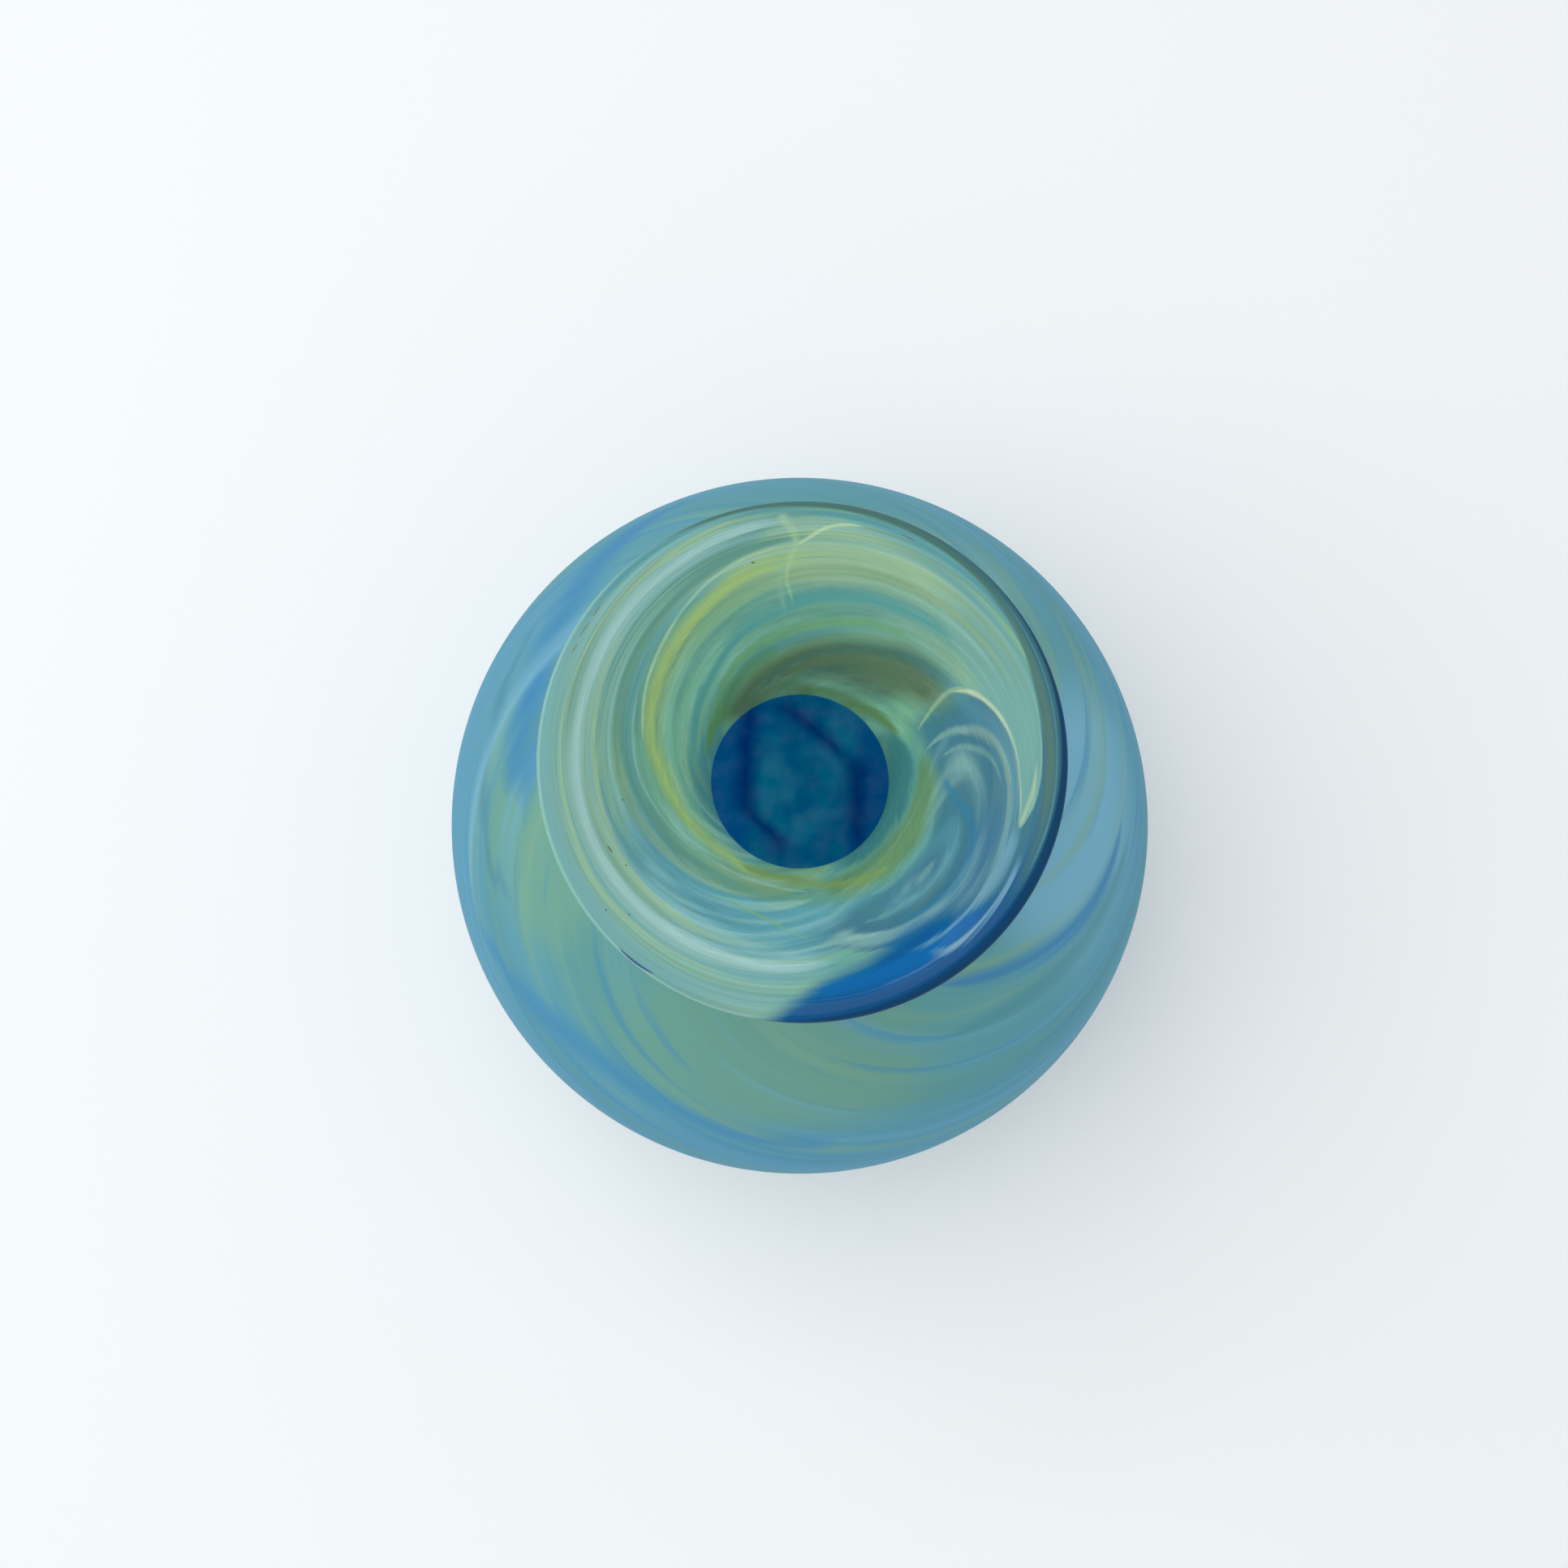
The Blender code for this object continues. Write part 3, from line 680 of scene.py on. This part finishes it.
WHIRL_BEARING = -38  # degrees
WHIRL_PLACE = 0.40
WHIRL_ARC = 70  # degrees
WHIRL_REACH = 0.34


def whirl(glass, wall):
    """Space wound round an eddy in the lower right of the trumpet, so that noise runs in arcs."""
    across = (glass.lap_from_left * 360 - (180 + WHIRL_BEARING)) * (1 / WHIRL_ARC)
    up = (wall - WHIRL_PLACE) * (1 / WHIRL_REACH)
    out = glass.maths("SQRT", across * across + up * up)
    return glass.vector(out * 0.9, across * 0.16 / (out + 0.3), up * 0.16 / (out + 0.3))


def trumpet_colours(glass):
    """The streaks that wind down the trumpet, as one colour socket."""
    wall = trumpet_place(glass)
    late = glass.maths("MAXIMUM", wall - 0.5, 0.0)
    across, beside = curl(glass, wall * 3.6 + late * late * 11.0)
    swirl = glass.vector(across, beside, wall * 0.9)
    eddy = whirl(glass, wall)
    in_eddy = patch(glass, scaled_wall(wall), *EDDY)
    ripple = glass.noise(swirl, 2.4, detail=2.0, seed=1.7)

    def flowing(scale, detail, seed):
        """Noise that runs with the streaks, and in arcs inside the eddy."""
        along = glass.noise(swirl, scale, detail=detail, seed=seed)
        around = glass.noise(eddy, scale, detail=detail, seed=seed)
        return along + (around - along) * in_eddy

    thread = flowing(4.0, 2.0, 4.1)
    drift = flowing(2.5, 1.0, 9.2)
    steep = glass.vector(across, beside, wall * 3.0)
    mottle = glass.noise(steep, 12.0, detail=4.0, roughness=0.7, seed=3.9)
    place = wall + (ripple - 0.5) * 0.07 + (thread - 0.5) * 0.05 + (mottle - 0.5) * 0.03
    base = glass.mix(glass.ramp(ripple, 0.35, 0.65), colour(98, 152, 140), colour(114, 164, 134))
    base = paint(glass, base, place, TRUMPET_PATCHES, 1.0, patch)
    base = glass.mix(glass.ramp(thread, 0.50, 0.72) * 0.42, base, colour(146, 188, 178))
    base = glass.mix(glass.ramp(thread, 0.50, 0.28) * 0.42, base, colour(66, 120, 124))
    lime_share = glass.ramp(drift, 0.50, 0.70) * (1 - in_eddy * 0.5) * 0.45
    base = glass.mix(lime_share, base, colour(136, 162, 112))
    base = glass.mix(glass.ramp(drift, 0.48, 0.28) * 0.40, base, colour(90, 148, 164))
    strength = 0.76 + glass.ramp(mottle, 0.30, 0.70) * 0.30 + (ripple - 0.5) * 1.2
    steady = wall + (ripple - 0.5) * 0.015 + (mottle - 0.5) * 0.008
    base = paint(glass, base, place, TRUMPET_STREAKS, strength)
    base = paint(glass, base, steady, TRUMPET_THREADS, strength)
    shadow = glass.mix(glass.ramp(drift, 0.36, 0.62), colour(68, 101, 92), colour(84, 108, 84))
    base = glass.mix(patch(glass, scaled_wall(place), *SHADOW) * strength, base, shadow)
    base = paint(glass, base, place, SLATE_STREAKS, strength)
    base = paint(glass, base, steady, SLATE_FEATHERS, strength, feather)
    base = paint(glass, base, steady, TONGUE_PATCHES, 1.0, patch)
    base = paint(glass, base, place, COBALT_PATCHES, 1.0, patch)
    base = paint(glass, base, wall, LIP_PATCHES, 1.0, patch)
    base = paint(glass, base, steady, HOOK_STREAKS)
    base = paint(glass, base, steady, HOOK_FEATHERS, 0.9, feather)
    base = glass.mix(speck(glass, wall, 0.6, *SPECKS), base, colour(52, 62, 40))
    base = glass.mix(speck(glass, wall, 0.6, *RUST_SPECKS) * 0.8, base, colour(104, 92, 48))
    return deepen(glass, base, COAT_GAIN + (mottle - 0.5) * 0.40 + (thread - 0.5) * 0.15)


BLACK = (0.0, 0.0, 0.0, 1.0)
GLOW_AT_THROAT = 0.37
GLOW_EVERYWHERE = 0.04


def throat_glow(glass, base):
    """Painted glow: a share of the colours given off as emission in place of light soaking through the
    glass, strongest down by the throat.
    """
    wall = (glass.radius - THROAT_RADIUS) * (1 / (LIP_RADIUS - THROAT_RADIUS))
    depth = glass.maths("POWER", glass.maths("MAXIMUM", 1 - wall, 0.0), 2.2)
    share = glass.maths("MINIMUM", depth * GLOW_AT_THROAT + GLOW_EVERYWHERE, 1.0)
    return glass.mix(share, BLACK, base)


MM = 0.001


def floor_glow_colours(glass):
    """Painted glow for the inside of the body: its deep blue with its darker threads, given off as
    emission.
    """
    cloud = glass.noise(glass.place, 70.0, detail=3.0, seed=3.3)
    fine = glass.noise(glass.place, 220.0, detail=2.0, seed=6.3)
    x = glass.x * (1 / MM) + (cloud - 0.5) * 6.0
    y = glass.y * (1 / MM) + (cloud - 0.5) * 6.0
    base = glass.mix(glass.ramp(cloud, 0.35, 0.65), colour(6, 72, 106), colour(16, 92, 116))
    base = glass.mix(glass.ramp(x * -1.0 + (y - 16.0) * 0.12, 7.0, 15.0) * 0.8, base, colour(2, 62, 112))
    base = glass.mix(glass.ramp(x - (y - 16.0) * 0.1, 10.0, 16.0) * 0.8, base, colour(3, 58, 104))
    bends = ((x + 12.4 - glass.ramp(12.0 - y, 0.0, 14.0) * 7.5, y, -6.0, 40.0, 0.20),
             (y - 30.0 + x * 0.62, x, -10.0, 16.0, 0.22),
             (x - 13.4, y, -4.0, 26.0, 0.18))
    for off, along, low, high, sharp in bends:
        ends = glass.ramp(along, low, low + 8.0) * glass.ramp(high - along, 0.0, 8.0)
        core = glass.ramp(1 - abs(off) * sharp, 0.0, 1.2)
        base = glass.mix(core * ends * 0.95, base, colour(1, 36, 84))
    shade = (fine - 0.5) * 0.03
    return glass.node("ShaderNodeBrightContrast", inputs={"Color": base, "Bright": shade})


def make_lining_glass():
    glass = Glass("glossy_lining")
    open_part = glass.ramp(glass.z, NECK_HEIGHT - 0.003, NECK_HEIGHT - 0.001)
    inside = floor_glow_colours(glass)
    painted = trumpet_colours(glass)
    base = glass.mix(open_part, colour(6, 50, 80), painted)
    # painted glow: the inside of the body gives off its deep blue as emission, and the trumpet a share
    # of its colours
    glow = glass.mix(open_part, inside, throat_glow(glass, painted))
    glass.set(Base_Color=base, Emission_Color=glow, Emission_Strength=1.0)
    glass.set(Roughness=0.3, Specular_IOR_Level=0.0)
    glass.set(Coat_Weight=open_part * COAT_WEIGHT, Coat_Roughness=0.06)
    return glass.material


# ---------------------------------------------------------------- the satin casing

BODY_PATCHES = (
    ("lime left", colour(107, 156, 138), 0.9, (0.04, 0.05, 14), (166, 0.84, 1.1), (182, 0.81, 1.1),
     (200, 0.81, 1.1), (218, 0.85, 1.1)),
    ("lime front", colour(102, 152, 138), 0.95, (0.05, 0.05, 18), (220, 0.86, 1.1),
     (238, 0.82, 1.1), (255, 0.78, 1.1), (270, 0.78, 1.1), (286, 0.80, 1.1), (306, 0.86, 1.1)),
    ("pale right", colour(116, 172, 196), 0.95, (0.08, 0.05, 22), (316, 0.82, 1.1),
     (340, 0.76, 1.1), (360, 0.74, 1.1), (378, 0.76, 1.1), (394, 0.84, 1.1)),
    ("lime upper right", colour(126, 170, 150), 0.9, (0.05, 0.05, 16), (34, 0.84, 1.1),
     (48, 0.81, 1.1), (66, 0.82, 1.1), (92, 0.85, 1.1), (112, 0.87, 1.1)),
)

BODY_DEEP = colour(58, 126, 172)
BODY_INK = colour(58, 116, 146)

BODY_STREAKS = (
    ("blue shoulder", BODY_DEEP, 0.9, 1.0, (104, 0.70, 0), (118, 0.73, 0.04), (132, 0.77, 0.06),
     (145, 0.81, 0.07), (158, 0.84, 0.06), (172, 0.85, 0.04), (190, 0.86, 0)),
    ("blue stroke", BODY_DEEP, 0.85, 1.0, (302, 0.93, 0), (312, 0.905, 0.02), (320, 0.88, 0.025),
     (328, 0.85, 0.03), (336, 0.82, 0.03), (346, 0.79, 0.025), (362, 0.76, 0)),
    ("blue front", colour(62, 132, 172), 0.8, 1.0, (196, 0.70, 0), (212, 0.74, 0.04),
     (228, 0.77, 0.05), (244, 0.77, 0.04), (262, 0.75, 0.03), (286, 0.74, 0)),
    ("ink thread", BODY_INK, 0.45, 1.0, (140, 0.745, 0), (156, 0.76, 0.02), (170, 0.778, 0.024),
     (184, 0.79, 0.02), (204, 0.81, 0)),
    ("pale sweep", colour(118, 170, 190), 0.7, 1.0, (120, 0.86, 0), (140, 0.84, 0.03),
     (160, 0.80, 0.035), (180, 0.75, 0.03), (200, 0.70, 0)),
    ("teal sweep", colour(76, 136, 146), 0.7, 1.0, (296, 0.86, 0), (318, 0.83, 0.03),
     (338, 0.78, 0.03), (360, 0.72, 0)),
)


def make_casing_glass():
    glass = Glass("satin_casing")
    height = glass.z * (1 / 0.130)
    across, beside = curl(glass, height * 6.0)
    swirl = glass.vector(across, beside, height * 0.8)
    broad = glass.noise(swirl, 1.8, detail=2.0, seed=2.2)
    fine = glass.noise(swirl, 4.5, detail=3.0, seed=5.5)
    lines = glass.noise(swirl, 8.0, detail=3.0, seed=8.8)
    up = glass.ramp(height, 0.66, 0.88)
    bands = glass.ramp(broad, 0.38, 0.62)
    low_glass = glass.mix(bands, colour(78, 144, 172), colour(78, 142, 158))
    high_glass = glass.mix(bands, colour(90, 150, 158), colour(92, 146, 142))
    base = glass.mix(up, low_glass, high_glass)
    place = height + (broad - 0.5) * 0.06 + (fine - 0.5) * 0.05
    base = paint(glass, base, place, BODY_PATCHES, 1.0, patch)
    base = glass.mix(glass.ramp(fine, 0.50, 0.72) * (0.25 + up * 0.4), base, colour(122, 164, 136))
    base = glass.mix(glass.ramp(1 - fine, 0.54, 0.74) * 0.45, base, colour(104, 162, 186))
    base = glass.mix(glass.ramp(lines, 0.56, 0.70) * 0.5, base, colour(60, 132, 172))
    base = paint(glass, base, place, BODY_STREAKS, 0.75 + glass.ramp(fine, 0.3, 0.7) * 0.3)
    # painted glow: the casing gives off 16% of its own colour as emission
    glow = glass.mix(0.16, BLACK, base)
    glass.set(Base_Color=base, Emission_Color=glow, Emission_Strength=1.0)
    glass.set(Roughness=0.6, Specular_IOR_Level=0.1)
    return glass.material


def make_lip_glass(lining):
    """The lip's clear glass shows the streaks that run into it, so it carries the lining's paint, its
    painted glow included.
    """
    material = lining.copy()
    material.name = "clear_lip"
    material.node_tree.nodes["Principled BSDF"].inputs["Roughness"].default_value = 0.2
    return material


def make_pontil_glass():
    glass = Glass("ground_pontil")
    rings = glass.noise(glass.vector(glass.radius * 40.0, 0.0, 0.0), 30.0, detail=3.0)
    tint = glass.mix(rings, colour(110, 150, 158), colour(150, 182, 186))
    glass.set(Base_Color=tint, Roughness=0.5)
    return glass.material


def make_trail_glass(name, light, dark):
    glass = Glass(name)
    across, beside = curl(glass, glass.z * 40.0)
    grain = glass.noise(glass.vector(across, beside, glass.z * 4.0), 9.0, detail=3.0)
    glass.set(Base_Color=glass.mix(grain, light, dark), Roughness=0.12, Coat_Weight=0.5)
    return glass.material


# ---------------------------------------------------------------- putting the vase together


def dress(piece, material):
    piece.data.materials.clear()
    piece.data.materials.append(material)


# the unevenness of hand work at five heights, from the foot to the lip, as shares of the cage
WIDER_THAN_DEEP = (0.0, 0.002, -0.001, 0.002, 0.006)
FULLER = (0.006, 0.006, 0.006, 0.0, 0.0)
LEAN_TO_RIGHT = (-0.0016, -0.0016, -0.0016, -0.0016, 0.003)
LEAN_TO_BACK = (0.0032, 0.0032, 0.0032, -0.0005, 0.005)


def wobble(pieces):
    """Gives the turned pieces that unevenness, all in one cage so that they stay together."""
    select_none()
    middle = (0, 0, LIP_TOP / 2)
    bpy.ops.object.add(type="LATTICE", location=middle)
    cage = bpy.context.object
    cage.scale = (2.2 * BODY_RADIUS, 2.2 * BODY_RADIUS, 1.1 * LIP_TOP)
    cage.data.points_u = 3
    cage.data.points_v = 3
    cage.data.points_w = len(FULLER)
    for index, point in enumerate(cage.data.points):
        layer = index // 9
        x, y, z = point.co
        wider = 1 + FULLER[layer] + WIDER_THAN_DEEP[layer]
        deeper = 1 + FULLER[layer] - WIDER_THAN_DEEP[layer]
        point.co_deform = (x * wider + LEAN_TO_RIGHT[layer], y * deeper + LEAN_TO_BACK[layer], z)
    for piece in pieces:
        bpy.context.view_layer.objects.active = piece
        bend = piece.modifiers.new("hand work", "LATTICE")
        bend.object = cage
        bpy.ops.object.modifier_apply(modifier=bend.name)
    bpy.data.objects.remove(cage, do_unlink=True)


def build_vase():
    casing, lining, lip, pontil = make_casing(), make_lining(), make_lip(), make_pontil()
    wobble((casing, lining, lip))
    dress(casing, make_casing_glass())
    lining_glass = make_lining_glass()
    dress(lining, lining_glass)
    dress(lip, make_lip_glass(lining_glass))
    dress(pontil, make_pontil_glass())
    places = (
        (casing, "outer_casing", "satin_casing"),
        (lining, "inner_gather", "glossy_lining"),
        (lip, "lip_wrap", "clear_wrap"),
        (pontil, "pontil_seal", "ground_pontil"),
    )
    for piece, node, slot in places:
        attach(piece, "root")
        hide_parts(node)


def dress_trails():
    kinds = {
        "cobalt": make_trail_glass("cobalt_trails", COBALT, NAVY),
        "citron": make_trail_glass("citron_trails", LIME, GREEN),
        "opal": make_trail_glass("opal_trails", MILK, SKY),
    }
    for name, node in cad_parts.items():
        kind = name.split("_")[0]
        if kind in kinds:
            for slot in node.material_slots:
                slot.material = kinds[kind]


# ---------------------------------------------------------------- table, light and camera


TABLE_SIZE = 6.0
PAPER_TINTS = (0.925, 0.94, 0.945, 1.0), (0.94, 0.952, 0.955, 1.0)
DAYLIGHT = (0.97, 0.99, 1.0)
ROOM_LIGHT = (0.96, 0.985, 1.0, 1.0)
ROOM_STRENGTH = 0.58
CAMERA_PLACE = (0.0, -0.0305, 0.392)
CAMERA_AIM = (-0.0101, 0.1187, -1.0)
CAMERA_LENS = 36.9  # millimetres, on a square 36 mm across


def add_table():
    select_none()
    bpy.ops.mesh.primitive_plane_add(size=TABLE_SIZE, location=(0, 0, 0))
    table = bpy.context.object
    table.name = "table"
    paper = Glass("pale_table")
    grain = paper.noise(paper.place, 3.0, detail=2.0)
    paper.set(Base_Color=paper.mix(grain, *PAPER_TINTS), Roughness=0.7)
    dress(table, paper.material)


def add_window(name, place, size, power):
    """A soft window: an area lamp that faces the vase."""
    lamp = bpy.data.lights.new(name, "AREA")
    lamp.shape = "RECTANGLE"
    lamp.size, lamp.size_y = size
    lamp.energy = power
    lamp.color = DAYLIGHT
    window = bpy.data.objects.new(name, lamp)
    window.location = place
    aim = Vector((0, 0, 0.08)) - Vector(place)
    window.rotation_euler = aim.to_track_quat("-Z", "Y").to_euler()
    bpy.context.scene.collection.objects.link(window)


def add_light():
    scene = bpy.context.scene
    scene.view_settings.view_transform = "Standard"
    world = bpy.data.worlds.new("soft room")
    scene.world = world
    world.use_nodes = True
    sky = world.node_tree.nodes["Background"]
    sky.inputs["Color"].default_value = ROOM_LIGHT
    sky.inputs["Strength"].default_value = ROOM_STRENGTH
    add_window("skylight", (-0.65, 0.12, 1.6), (2.0, 2.0), 19.0)
    add_window("far window", (-0.55, 1.2, 1.9), (0.45, 0.2), 1.0)


def add_camera():
    camera = bpy.data.cameras.new("camera")
    camera.lens = CAMERA_LENS
    camera.sensor_width = 36.0
    view = bpy.data.objects.new("camera", camera)
    back = -Vector(CAMERA_AIM).normalized()
    right = Vector((0, 1, 0)).cross(back).normalized()
    up = back.cross(right)
    turn = Matrix((right, up, back)).transposed().to_4x4()
    view.matrix_world = Matrix.Translation(CAMERA_PLACE) @ turn
    bpy.context.scene.collection.objects.link(view)
    bpy.context.scene.camera = view


build_vase()
dress_trails()
add_table()
add_light()
add_camera()
